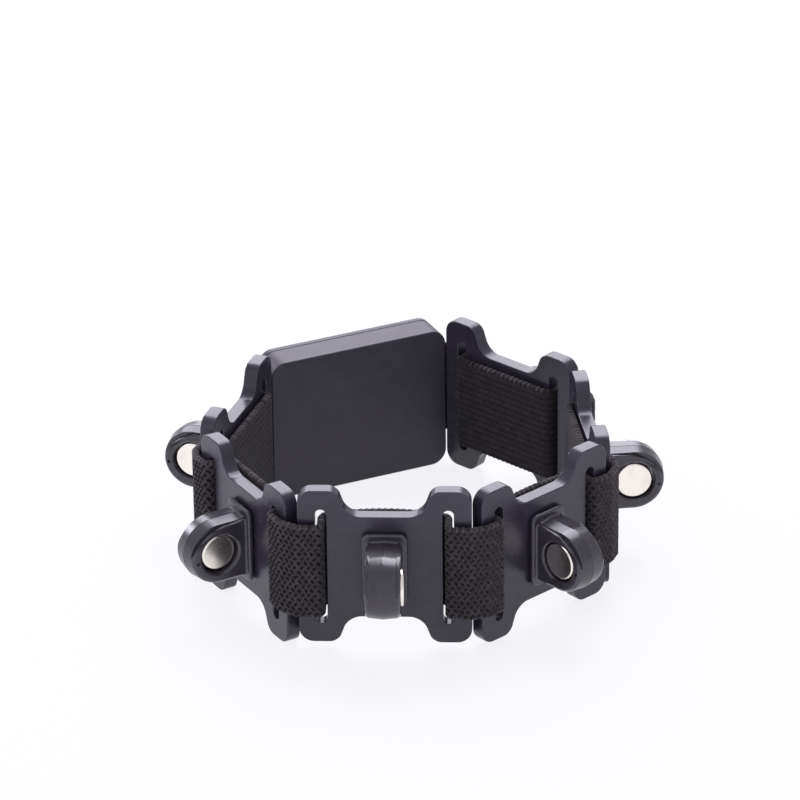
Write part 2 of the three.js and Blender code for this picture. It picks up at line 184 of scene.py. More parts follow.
class LugSizes(bpy.types.PropertyGroup):
    """Sizes of an eye lug and of its magnet"""

    reach: size("Reach", "From the plate's outer face to the tip", 11.3)
    radius: size("Radius", "Radius of the eye", 5.4)
    drop: size("Drop", "The eye's centre below the plate's middle", 0.2)
    thickness: size("Thickness", "Over the two cheeks", 5.8)
    edge: size("Edge", "Rounding of the eye's rim", 0.6)
    draft: size("Draft", "How far the rim falls from its parting line to each cheek", 0.3)
    foot_edge: size("Foot edge", "Rounding of the flange and where the eye meets it", 0.36)
    step_depth: size("Step depth", "Step in each cheek from the flange to the tip", 0.7)
    step_radius: size("Step radius", "Round of the cheek that the step leaves", 7.1)
    step_back: size("Step back", "Centre of that round behind the eye", 1.5)
    step_below: size("Step below", "Centre of that round below the eye", 2.22)
    step_rise: size("Step rise", "How far the step rises towards the flange", 0.28)
    step_edge: size("Step edge", "Rounding of the step's outer edge", 0.12)
    cheek_edge: size("Cheek edge", "Rounding of the cheek along the step", 0.3)
    flash: size("Flash", "How far the mould's parting line stands out", 0.03)
    flash_width: size("Flash width", "Width of the mould's parting line", 0.14)
    flange_width: size("Flange width", "Base flange along the ring", 7.4)
    flange_height: size("Flange height", "Base flange upwards", 12.9)
    flange_proud: size("Flange proud", "Base flange above the plate", 1.1)
    flange_corner: size("Flange corner", "Corner radius of the flange", 1.2)
    tenon_width: size("Tenon width", "Peg in the plate's window", 3.2)
    tenon_height: size("Tenon height", "Peg in the plate's window", 9.0)
    seat_gap: size("Seat gap", "Between moulded pieces that touch", 0.2)
    hole_chamfer: size("Hole chamfer", "Bevel round the magnet's hole", 0.45)
    mark_diameter: size("Ejector mark", "Round mould mark on each cheek", 2.4)
    mark_depth: size("Mark depth", "Depth of the mould mark", 0.06)
    dimple: size("Dimple", "Diameter of the small pit in each cheek", 0.6)
    magnet_diameter: size("Magnet diameter", "Disc magnet in the eye", 6.4)
    magnet_recess: size("Magnet recess", "Magnet below each cheek", 0.35)
    magnet_edge: size("Magnet edge", "Rounding of the magnet's edge", 0.46)
    magnet_fit: size("Magnet fit", "Gap round the magnet", 0.2)


class PadSizes(bpy.types.PropertyGroup):
    """Sizes of the pad"""

    width: size("Width", "Along the ring", 32.8)
    height: size("Height", "Upwards", 25.7)
    depth: size("Depth", "From the wrist side to the outside", 6.4)
    corner: size("Corner", "Radius of the four corners", 2.8)
    edge: size("Edge", "Rounding of the large faces' edges", 0.28)
    seam_edge: size("Seam edge", "Rounding along the parting line", 0.14)
    wall: size("Wall", "Side walls of the tub", 1.5)
    floor: size("Floor", "Floor of the tub", 1.0)
    cover_thickness: size("Cover thickness", "Outer cover", 1.2)
    seam_gap: size("Seam gap", "Parting line between tub and cover", 0.2)
    lip_depth: size("Lip depth", "Locating lip under the cover", 0.8)
    lip_wall: size("Lip wall", "Width of the locating lip", 1.0)
    lip_gap: size("Lip gap", "Between the lip and the tub's wall", 0.3)
    band_level: size("Band level", "Band's middle above the wrist side", 2.7)
    slot_play: size("Slot play", "Room on each face of the band", 0.4)
    tail_inside: size("Tail inside", "Sliding band tail inside the pad", 9.5)
    fixed_inside: size("Fixed end inside", "Clamped band end inside the pad", 6.5)


class BandSizes(bpy.types.PropertyGroup):
    """Sizes of the elastic band"""

    height: size("Height", "Width of the elastic", 16.6)
    lift: size("Lift", "Band's middle above that of a link on the floor", 1.5)
    thickness: size("Thickness", "Through the elastic", 1.2)
    gap: size("Gap", "Between the band and what it lies on", 0.3)
    bend: size("Bend", "Middle radius where the band enters a slot", 0.95)
    fold: size("Fold", "Middle radius over a link's end", 1.6)
    join: size("Join", "Cut between two lengths of the band", 0.04)
    pad_join: size("Pad join", "Cut between two lengths in the pad's wall", 0.3)
    knit_pitch: size("Knit pitch", "Hole to hole along the band", 1.0)
    knit_row: size("Knit row", "From one row of holes to the next", 0.865)
    knit_depth: size("Knit depth", "Depth of the knit's holes", 0.2)
    knit_step: size("Knit step", "Mesh step of the knit", 0.125)
    rib_pitch: size("Rib pitch", "From rib to rib on the wrist side", 1.15)
    rib_depth: size("Rib depth", "Depth between the ribs", 0.03)
    rib_step: size("Rib step", "Mesh step along the ribs", 0.22)
    picot_pitch: size("Picot pitch", "From loop to loop along the edges", 1.0)
    picot_depth: size("Picot depth", "How far the edge loops stand out", 0.14)


class Finishes(bpy.types.PropertyGroup):
    """Colours of the pieces and of the stage"""

    plate: colour("Plate plastic", "Satin black of the links", (0.0265, 0.0227, 0.036))
    lug: colour("Lug plastic", "Black of the eyes", (0.030, 0.026, 0.034))
    pad: colour("Pad plastic", "Matt charcoal of the pad", (0.0305, 0.0257, 0.038))
    worn: colour("Worn edge", "Rubbed edges of the plastic", (0.085, 0.080, 0.096))
    nickel: colour("Nickel", "Plating of the magnets", (0.95, 0.90, 0.83))
    tarnish: colour("Tarnish", "Duller patches of the plating", (0.64, 0.58, 0.53))
    yarn: colour("Yarn", "Outside of the elastic", (0.022, 0.019, 0.022))
    # Painted sheen: lighter flecks scattered over the outside's yarns
    yarn_painted_sheen: colour("Yarn crest", "Light fibres on the outside", (0.092, 0.080, 0.086))
    # Painted shade: near-black in the knit's holes, where shade falls between the yarns
    yarn_hole_shade: colour("Yarn hole", "Between the yarns", (0.002, 0.002, 0.002))
    rib: colour("Rib", "Wrist side of the elastic", (0.014, 0.0115, 0.014))
    # Painted sheen: lighter flecks scattered over the wrist side's ribs
    rib_painted_sheen: colour("Rib crest", "Light fibres on the wrist side", (0.060, 0.050, 0.057))
    # Painted shade: darkest between the ribs, where shade falls
    rib_gap_shade: colour("Rib gap", "Between the ribs", (0.005, 0.004, 0.005))
    picot: colour("Picot", "Lighter thread of the edges", (0.085, 0.077, 0.082))
    floor: colour("Floor", "Pale floor", (0.93, 0.92, 0.97))
    glow: colour("Floor glow", "Tint of the floor's own white", (0.965, 0.965, 1.0))
    lamp: colour("Lamp tint", "Light of the soft boxes", (0.91, 0.89, 1.0))


class StageSizes(bpy.types.PropertyGroup):
    """Camera and lights"""

    camera: place("Camera", "Where the camera stands", (1.98, -760.04, 404.74))
    lens: FloatProperty(name="Lens", description="Focal length", default=230.3, unit="CAMERA")
    tilt: angle("Tilt", "Camera's angle below the horizon", 26.231)
    turn: angle("Turn", "Camera's angle to the right", -0.308)
    roll: angle("Roll", "Camera's angle about its axis", -0.688)
    world: number("Room light", "Strength of the white room", 0.68)
    top: number("Top light", "Watts of the soft box above", 4.6)
    back: number("Back light", "Watts of the soft box behind", 12.0)
    back_left: number("Back left light", "Watts of the soft box behind at the left", 3.0)
    left: number("Left light", "Watts of the soft box at the left", 1.5)
    front: number("Front light", "Watts of the soft box at the front", 2.2)
    floor_glow: number("Floor glow", "How much of the floor's white is its own", 0.87)


SETTINGS = {
    "wristband_plate": PlateSizes,
    "wristband_lug": LugSizes,
    "wristband_pad": PadSizes,
    "wristband_band": BandSizes,
    "wristband_finish": Finishes,
    "wristband_stage": StageSizes,
}


def millimetres(group):
    """The sizes of a property group, in millimetres."""
    return SimpleNamespace(**{key: getattr(group, key) / MM for key in group.__annotations__})


def measures(context):
    """All sizes that the pieces share, in millimetres, those that follow from them, and where the
    links and the pad stand."""
    scene = context.scene
    plate = millimetres(scene.wristband_plate)
    lug = millimetres(scene.wristband_lug)
    pad = millimetres(scene.wristband_pad)
    band = millimetres(scene.wristband_band)
    plate.middle = plate.height / 2
    plate.slot_at = plate.width / 2 - plate.end_bar - plate.slot_width / 2
    lug.eye = plate.thickness + lug.reach - lug.radius
    lug.centre = plate.middle - lug.drop
    lug.seat = plate.thickness + lug.seat_gap
    lug.flange_top = plate.thickness + lug.flange_proud
    lug.magnet_half = lug.thickness / 2 - lug.magnet_recess
    pad.tub_top = pad.depth - pad.cover_thickness - pad.seam_gap
    band.middle = plate.middle + band.lift
    band.inside = -band.gap - band.thickness / 2
    band.outside = plate.thickness + band.gap + band.thickness / 2
    places = element_places(lug, pad)
    return SimpleNamespace(plate=plate, lug=lug, pad=pad, band=band, places=places)


# Where each link and the pad stand


def element_places(lug, pad):
    """For each link and the pad: the middle of its inner face in plan, how far it hangs above the
    floor, both in mm, and its heading."""
    mounts = {mount["name"]: mount for mount in frame["record"]["mounts"]}
    places = {}
    for name in ORDER:
        mount = mounts["pad_face" if name == "pad" else "magnet_face_" + name]
        x, y = mount["axis"][:2]
        if name == "pad":
            outward = Vector((x, y))
            along = Vector((-y, x))
            offset = outward * pad.depth
            height = pad.height / 2
        else:
            along = Vector((x, y))
            outward = Vector((y, -x))
            slip = MAGNET_SLIP.get(name, 0.0)
            offset = along * (lug.magnet_half + slip) + outward * lug.eye
            height = lug.centre
        places[name] = SimpleNamespace(
            middle=Vector(mount["pos_m"][:2]) / MM - offset,
            lift=mount["pos_m"][2] / MM - height,
            along=along,
            outward=outward,
            heading=math.atan2(along.y, along.x),
        )
    return places


def stand(prototype, name, element, slip=0.0):
    """A copy of a finished shape, with a mesh of its own, where a link or the pad stands."""
    copy = prototype.copy()
    copy.data = prototype.data.copy()
    copy.name = copy.data.name = name
    middle = element.middle + element.along * slip
    copy.data.transform(
        Matrix.Translation(Vector((*middle, element.lift)) * MM)
        @ Matrix.Rotation(element.heading, 4, "Z")
        @ Matrix.Scale(MM, 4)
    )
    bpy.context.collection.objects.link(copy)
    return copy


def coat(piece, material):
    """Gives a piece one material."""
    piece.data.materials.clear()
    piece.data.materials.append(material)


def finish_piece(piece, material, body, node):
    """Gives a piece its material, the body that it rides on and the node that it stands for."""
    coat(piece, material)
    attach(piece, body)
    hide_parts(node)


def on_each_link(shape, label, places, material, node, slips=None):
    """Puts a copy of a finished shape on every link, moved along the ring where it has a slip, and
    removes the shape."""
    for name in LINKS:
        slip = slips.get(name, 0.0) if slips else 0.0
        piece = stand(shape, label + name, places[name], slip)
        finish_piece(piece, material, "link_" + name, node + name)
    bpy.data.objects.remove(shape)


# Modelling by hand. Shapes are made in millimetres, in the frame of their link: x along the ring,
# y towards the wrist, z up. They come to size when they are put in place.


def choose(piece):
    """Selects one object alone and makes it the active one."""
    bpy.ops.object.select_all(action="DESELECT")
    piece.select_set(True)
    bpy.context.view_layer.objects.active = piece


@contextmanager
def editing(piece, kind, everything=False):
    """Edit mode on a piece with nothing selected, or with everything. Gives its mesh."""
    choose(piece)
    bpy.ops.object.mode_set(mode="EDIT")
    bpy.ops.mesh.select_mode(type=kind)
    bpy.ops.mesh.select_all(action="SELECT" if everything else "DESELECT")
    yield bmesh.from_edit_mesh(piece.data)
    bpy.ops.object.mode_set(mode="OBJECT")


def pick(items, test):
    """Selects the vertices, edges or faces for which the test holds, and wants at least one."""
    chosen = [item for item in items if test(item)]
    if not chosen:
        raise RuntimeError("nothing to select for the next step")
    for item in chosen:
        item.select_set(True)


def applied(piece, kind, **settings):
    """Adds a modifier with its settings and applies it."""
    choose(piece)
    modifier = piece.modifiers.new(kind.lower(), kind)
    for key, value in settings.items():
        setattr(modifier, key, value)
    bpy.ops.object.modifier_apply(modifier=modifier.name)


def started(name):
    """Names the new primitive and puts its place and scale into its mesh."""
    made = bpy.context.object
    made.name = made.data.name = name
    bpy.ops.object.transform_apply(location=True, rotation=True, scale=True)
    made.data.materials.append(None)
    made.data.materials.append(None)
    return made


def block(name, extent, centre):
    """A box to shape a piece or a cutter from."""
    bpy.ops.object.select_all(action="DESELECT")
    bpy.ops.mesh.primitive_cube_add(size=1, location=centre)
    bpy.context.object.scale = extent
    return started(name)


def bar(name, radius, length, centre, sides=72):
    """A round bar that lies along the ring."""
    bpy.ops.object.select_all(action="DESELECT")
    bpy.ops.mesh.primitive_cylinder_add(
        vertices=sides,
        radius=radius,
        depth=length,
        location=centre,
        rotation=(0, math.pi / 2, 0),
    )
    return started(name)


def near(value, *targets):
    """Whether a value is one of the targets, give or take a micrometre."""
    return any(abs(value - target) < 1e-3 for target in targets)


def bevel_edges(piece, test, reach, segments, worn=True):
    """Rounds the edges for which the test holds, and marks the new faces as a worn edge or not."""
    with editing(piece, "EDGE") as mesh:
        pick(mesh.edges, test)
        bpy.ops.mesh.bevel(offset=reach, segments=segments, affect="EDGES", material=int(worn))


def round_corners(piece, xs, zs, reach, segments):
    """Rounds the edges that run through the piece at the given places along and up."""

    def through(edge):
        a, b = (vertex.co for vertex in edge.verts)
        return near(a.x, b.x) and near(a.z, b.z) and near(a.x, *xs) and near(a.z, *zs)

    bevel_edges(piece, through, reach, segments, worn=False)


def round_rim(piece, level, reach, segments):
    """Rounds the outline of the face that lies at a level of y."""

    def at_level(edge):
        return all(near(vertex.co.y, level) for vertex in edge.verts)

    bevel_edges(piece, at_level, reach, segments)


def combine(piece, other, operation):
    """Adds another solid to a piece or cuts it out, and removes it."""
    applied(piece, "BOOLEAN", operation=operation, object=other, solver="EXACT")
    bpy.data.objects.remove(other)


def soften(piece, width, segments=3):
    """Rounds every edge that is left sharp, and keeps where the rounded edges are."""
    applied(
        piece,
        "BEVEL",
        width=width,
        segments=segments,
        limit_method="ANGLE",
        angle_limit=SHARP_ANGLE,
        material=1,
    )


def completed(piece):
    """Turns the rounded edges into an attribute and smooths the shading."""
    faces = len(piece.data.polygons)
    index = np.zeros(faces, np.int32)
    piece.data.polygons.foreach_get("material_index", index)
    wear = piece.data.attributes.new("worn_edge", "FLOAT", "FACE")
    wear.data.foreach_set("value", (index == 1).astype(np.float32))
    piece.data.polygons.foreach_set("material_index", np.zeros(faces, np.int32))
    choose(piece)
    bpy.ops.object.shade_smooth_by_angle(angle=SMOOTH_ANGLE)
    applied(piece, "WEIGHTED_NORMAL", keep_sharp=True)
    return piece


# Links


def plate_shape(plate, lug):
    """A dog-bone plate: four tabs, a waist between them, two band slots and the lug's window."""
    depth = plate.thickness
    shape = block(
        "plate_shape", (plate.width, depth, plate.height), (0, -depth / 2, plate.middle)
    )
    lean = math.atan2(plate.notch_depth, plate.shoulder_run)
    set_back = math.tan(lean / 2)  # of a rounding, for each millimetre of its radius
    throat = plate.notch_flat / 2 + plate.throat * set_back
    shoulder = throat + plate.shoulder_run
    for side in (1, -1):
        waist = plate.middle + side * (plate.middle - plate.notch_depth)
        far = plate.middle + side * (plate.middle + plate.notch_depth)
        cutter = block(
            "notch_cutter",
            (2 * throat, 3 * depth, 2 * plate.notch_depth),
            (0, -depth / 2, (waist + far) / 2),
        )
        with editing(cutter, "VERT") as mesh:
            pick(mesh.verts, lambda vertex: near(vertex.co.z, far))
            wider = 1 + 2 * plate.shoulder_run / throat
            bpy.ops.transform.resize(value=(wider, 1, 1), center_override=(0, 0, far))
        round_corners(cutter, (-throat, throat), (waist,), plate.throat * set_back, 10)
        combine(shape, cutter, "DIFFERENCE")
    ends = (0, plate.height)
    round_corners(shape, (-shoulder, shoulder), ends, plate.shoulder * set_back, 8)
    round_corners(shape, (-plate.width / 2, plate.width / 2), ends, plate.tab_corner, 8)
    slot_height = plate.height - 2 * plate.slot_margin
    slot_ends = (plate.slot_margin, plate.height - plate.slot_margin)
    half_slot = plate.slot_width / 2
    for at in (plate.slot_at, -plate.slot_at):
        cutter = block(
            "slot_cutter", (plate.slot_width, 3 * depth, slot_height), (at, -depth / 2, plate.middle)
        )
        round_corners(cutter, (at - half_slot, at + half_slot), slot_ends, half_slot - BEVEL_ROOM, 7)
        combine(shape, cutter, "DIFFERENCE")
    window = block(
        "window_cutter",
        (lug.tenon_width + 2 * lug.seat_gap, 3 * depth, lug.tenon_height + 2 * lug.seat_gap),
        (0, -depth / 2, lug.centre),
    )
    combine(shape, window, "DIFFERENCE")
    soften(shape, plate.edge, 4)
    return completed(shape)


def round_bar_ends(shape, reach, segments):
    """Rounds the two rims of a bar."""

    def on_rim(edge):
        a, b = (vertex.co.x for vertex in edge.verts)
        return near(a, b) and not near(a, 0)

    bevel_edges(shape, on_rim, reach, segments)


def eye_shape(lug, radius, thickness, edge, draft=0.0):
    """A flat eye that stands straight out: round beyond its centre, straight to inside the flange.
    With a draft, its rim falls from the middle to both sides."""
    eye = (0, -lug.eye, lug.centre)
    shape = bar("eye_shape", radius, thickness, eye)
    if draft:
        share = 1 - draft / radius
        with editing(shape, "VERT", everything=True):
            bpy.ops.mesh.bisect(plane_co=eye, plane_no=(1, 0, 0))
        with editing(shape, "VERT") as mesh:
            pick(mesh.verts, lambda vertex: not near(vertex.co.x, 0))
            bpy.ops.transform.resize(value=(1, share, share), center_override=eye)
    round_bar_ends(shape, edge, 4)
    root = lug.seat + (lug.flange_top - lug.seat) / 3
    with editing(shape, "FACE", everything=True):
        bpy.ops.mesh.bisect(
            plane_co=eye, plane_no=(0, 1, 0), use_fill=True, clear_outer=True, threshold=1e-5
        )

    def cut(face):
        return abs(face.normal.y) > 0.99 and near(face.calc_center_median().y, -lug.eye)

    with editing(shape, "FACE") as mesh:
        pick(mesh.faces, cut)
        bpy.ops.mesh.extrude_region_move(TRANSFORM_OT_translate={"value": (0, lug.eye - root, 0)})
        bpy.ops.mesh.select_all(action="SELECT")
        bpy.ops.mesh.normals_make_consistent(inside=False)
    return shape


def bevel_ring(shape, lug, level, radius, reach, segments, clear=-math.inf):
    """Rounds the edges of a circle round the eye's centre at a level of x, or only those of them
    that lie further than a clearance above the centre and beyond it."""

    def wanted(edge):
        first, second = (vertex.co for vertex in edge.verts)
        if not (near(first.x, second.x) and near(abs(first.x), level)):
            return False
        places = [(-co.y - lug.eye, co.z - lug.centre) for co in (first, second)]
        on_ring = all(abs(math.hypot(*place) - radius) < RING_SLACK for place in places)
        return on_ring and all(min(place) > clear for place in places)

    bevel_edges(shape, wanted, reach, segments)


def cut_step(shape, lug, side):
    """Cuts one cheek back along the rim. What is left of it is straight near the flange, then round."""
    face = lug.thickness / 2
    width = 4 * lug.step_depth
    root = lug.flange_top + STEP_CLEAR
    tip = lug.eye + 2 * lug.radius
    low = lug.centre - lug.step_below
    high = lug.centre + 2 * lug.radius
    cutter = block(
        "step_cutter",
        (width / 2, tip - root, high - low),
        (side * face, -(root + tip) / 2, (low + high) / 2),
    )
    crest = lug.eye - lug.step_back
    cheek = bar("cheek", lug.step_radius, width, (side * face, -crest, low), 144)
    straight = block(
        "straight_cheek",
        (width, crest - root + CUT_OVERLAP, lug.step_radius),
        (side * face, -(crest + root - CUT_OVERLAP) / 2, low + lug.step_radius / 2),
    )

    def at_flange(vertex):
        upper = vertex.co.z > low + lug.step_radius / 2
        return upper and near(vertex.co.y, CUT_OVERLAP - root)

    with editing(straight, "VERT") as mesh:
        pick(mesh.verts, at_flange)
        bpy.ops.transform.translate(value=(0, 0, lug.step_rise))
    combine(cutter, cheek, "DIFFERENCE")
    combine(cutter, straight, "DIFFERENCE")
    combine(shape, cutter, "DIFFERENCE")


def round_cheek(shape, lug):
    """Rounds the edge of each cheek along the step."""
    face = lug.thickness / 2
    crest = lug.eye - lug.step_back
    slope = lug.step_rise / (crest - lug.flange_top + (CUT_OVERLAP - STEP_CLEAR))

    def on_step(co):
        out = -co.y - crest
        up = co.z - lug.centre + lug.step_below
        reach = math.hypot(out, up) if out > 0 else up + out * slope
        return near(abs(co.x), face) and abs(reach - lug.step_radius) < STEP_SLACK

    def along_step(edge):
        return all(on_step(vertex.co) for vertex in edge.verts)

    bevel_edges(shape, along_step, lug.cheek_edge, 3)


def lug_shape(plate, lug):
    """An eye lug: a stepped eye on a base flange, with a tenon and a chamfered hole."""
    face = lug.thickness / 2
    hole = lug.magnet_diameter / 2 + lug.magnet_fit
    shape = eye_shape(lug, lug.radius, lug.thickness, lug.edge, lug.draft)
    eye = (0, -lug.eye, lug.centre)
    combine(shape, bar("bore", hole, 3 * lug.thickness, eye), "DIFFERENCE")
    bevel_ring(shape, lug, face, hole, lug.hole_chamfer, 3)
    flange = block(
        "flange",
        (lug.flange_width, lug.flange_top - lug.seat, lug.flange_height),
        (0, -(lug.seat + lug.flange_top) / 2, plate.middle),
    )
    sides = (-lug.flange_width / 2, lug.flange_width / 2)
    ends = (plate.middle - lug.flange_height / 2, plate.middle + lug.flange_height / 2)
    round_corners(flange, sides, ends, lug.flange_corner, 6)
    combine(shape, flange, "UNION")
    tenon_end = (lug.seat + lug.flange_top) / 2
    tenon = block(
        "tenon",
        (lug.tenon_width, tenon_end - lug.seat_gap, lug.tenon_height),
        (0, -(lug.seat_gap + tenon_end) / 2, lug.centre),
    )
    combine(shape, tenon, "UNION")
    soften(shape, lug.foot_edge)
    for side in (1, -1):
        cut_step(shape, lug, side)
    ledge = face - lug.step_depth
    rim = lug.radius - lug.draft * ledge / face
    bevel_ring(shape, lug, ledge, rim, lug.step_edge, 2, STEP_EDGE_START)
    round_cheek(shape, lug)
    combine(shape, flash_shape(lug), "UNION")
    mark_at = (
        lug.flange_top + lug.mark_diameter * MARK_AT[0],
        lug.centre + lug.radius * MARK_AT[1],
    )
    pit_at = (lug.eye + lug.radius * PIT_AT[0], lug.centre + lug.radius * PIT_AT[1])
    for side in (1, -1):
        for at, across, deep in (
            (mark_at, lug.mark_diameter, lug.mark_depth),
            (pit_at, lug.dimple, lug.dimple / 2),
        ):
            mark = bar("mark", across / 2, 2 * deep, (side * face, -at[0], at[1]), 40)
            combine(shape, mark, "DIFFERENCE")
    return completed(shape)


def flash_shape(lug):
    """The parting line of the mould: a thin rib round the middle of the rim."""
    shape = eye_shape(lug, lug.radius + lug.flash, lug.flash_width, lug.flash / 2)
    hole = bar("flash_hole", lug.radius - FLASH_ROOT, lug.thickness, (0, -lug.eye, lug.centre))
    combine(shape, hole, "DIFFERENCE")
    shape.data.polygons.foreach_set("material_index", [1] * len(shape.data.polygons))
    return shape


def magnet_shape(lug):
    """A disc magnet with rounded edges and a faint dish in both faces."""
    radius = lug.magnet_diameter / 2
    shape = bar("magnet_shape", radius, 2 * lug.magnet_half, (0, -lug.eye, lug.centre), 96)
    round_bar_ends(shape, lug.magnet_edge, 4)
    for side in (1, -1):
        with editing(shape, "FACE") as mesh:
            pick(mesh.faces, lambda face: face.normal.x * side > 0.999)
            bpy.ops.mesh.inset(thickness=DISH_RIM)
            bpy.ops.transform.translate(value=(-side * DISH_DEPTH, 0, 0))
            bpy.ops.mesh.inset(thickness=DISH_SLOPE)
    return completed(shape)


# Pad


def pad_block(name, pad, low, high, inset):
    """A slab of the pad's outline between two levels, drawn in by an inset."""
    width = pad.width - 2 * inset
    height = pad.height - 2 * inset
    shape = block(name, (width, high - low, height), (0, -(low + high) / 2, pad.height / 2))
    radius = max(pad.corner - inset, LEAST_CORNER)
    round_corners(shape, (-width / 2, width / 2), (inset, pad.height - inset), radius, 12)
    return shape


def tub_shape(pad, band):
    """The pad's tub: its floor faces the wrist, and the band enters through slots in its sides."""
    shape = pad_block("tub_shape", pad, 0, pad.tub_top, 0)
    round_rim(shape, 0, pad.edge, 5)
    combine(shape, pad_block("hollow", pad, pad.floor, pad.depth, pad.wall), "DIFFERENCE")
    extent = (pad.width / 2, band.thickness + 2 * pad.slot_play, band.height + 2 * band.gap)
    for side, sag in ((1, 0.0), (-1, BAND_SAG["pad"])):
        slot = block("side_slot", extent, (side * pad.width / 2, -pad.band_level, band.middle - sag))
        combine(shape, slot, "DIFFERENCE")
    soften(shape, pad.seam_edge, 2)
    return completed(shape)


def cover_shape(pad):
    """The pad's outer cover, with a lip that finds the tub."""
    low = pad.depth - pad.cover_thickness
    shape = pad_block("cover_shape", pad, low, pad.depth, 0)
    round_rim(shape, -pad.depth, pad.edge, 5)
    outer = pad.wall + pad.lip_gap
    lip = pad_block("lip", pad, low - pad.lip_depth, low + LIP_ROOT, outer)
    past = 2 * pad.lip_depth
    hole = pad_block("lip_hole", pad, low - past, low + past, outer + pad.lip_wall)
    combine(lip, hole, "DIFFERENCE")
    combine(shape, lip, "UNION")
    soften(shape, pad.seam_edge, 2)
    return completed(shape)


# Elastic band


def rounded_line(corners, step=0.04, arc_steps=10):
    """A line in plan with rounded corners, each given as (point, radius), in even small steps, and
    the run of each step."""
    points = []
    for i, (here, radius) in enumerate(corners):
        if radius == 0 or i in (0, len(corners) - 1):
            points.append(here)
            continue
        before = (corners[i - 1][0] - here).normalized()
        after = (corners[i + 1][0] - here).normalized()
        half = before.angle(after) / 2
        centre = here + (before + after).normalized() * (radius / math.sin(half))
        first = here + before * (radius / math.tan(half)) - centre
        last = here + after * (radius / math.tan(half)) - centre
        turn = math.atan2(first.x * last.y - first.y * last.x, first.dot(last))
        for k in range(arc_steps + 1):
            points.append(centre + Matrix.Rotation(turn * k / arc_steps, 2) @ first)
    rough = np.array([tuple(point) for point in points])
    run = np.concatenate([[0], np.cumsum(np.hypot(*np.diff(rough, axis=0).T))])
    even = np.linspace(0, run[-1], int(run[-1] / step) + 2)
    return np.column_stack([np.interp(even, run, rough[:, k]) for k in (0, 1)]), even


def spot(element, along, outwards, radius=0.0):
    """A corner of the band's line, given in the frame of a link or the pad."""
    return element.middle + element.along * along + element.outward * outwards, radius


def over_end(element, side, plate, band):
    """The band from inside a link's slot to over the link's end."""
    return [
        spot(element, side * plate.slot_at, plate.thickness / 2 + band.join / 2),
        spot(element, side * plate.slot_at, band.outside, band.bend),
        spot(element, side * plate.width / 2, band.outside, band.fold),
    ]


def into_pad(element, side, inside, pad, band):
    """The band from just outside the pad to a place inside it."""
    return [
        spot(element, side * (pad.width + band.thickness) / 2, pad.band_level, band.fold),
        spot(element, side * (pad.width / 2 - inside), pad.band_level),
    ]


def weave_spots(run, up, band):
    """Places on the cloth in knit pitches along it and rows across it, as uneven as cloth is."""
    across = up / band.knit_row
    along = run / band.knit_pitch
    along = along + 0.07 * np.sin(0.9 * across + 1.3 * np.sin(0.31 * along))
    across = across + 0.10 * np.sin(1.7 * along + 0.6 * np.sin(0.7 * across))
    along = along + 0.12 * np.sin(math.pi * across)
    return along, across


def knit_height(along, across):
    """The outside of the elastic: 1 on the crossing yarns, 0 in the holes between them."""
    first = np.cos(math.pi * (along + across / 2)) ** 2
    second = np.cos(math.pi * (along - across / 2)) ** 2
    return np.clip(1 - np.minimum(first, second) / YARN_SHARE, 0, 1)


def rib_height(run, up, band):
    """The wrist side of the elastic: uneven ribs along the band."""
    uneven = up + 0.16 * np.sin(0.9 * run + 1.9 * np.sin(0.6 * up))
    return np.abs(np.cos(math.pi * uneven / band.rib_pitch)) ** 0.7


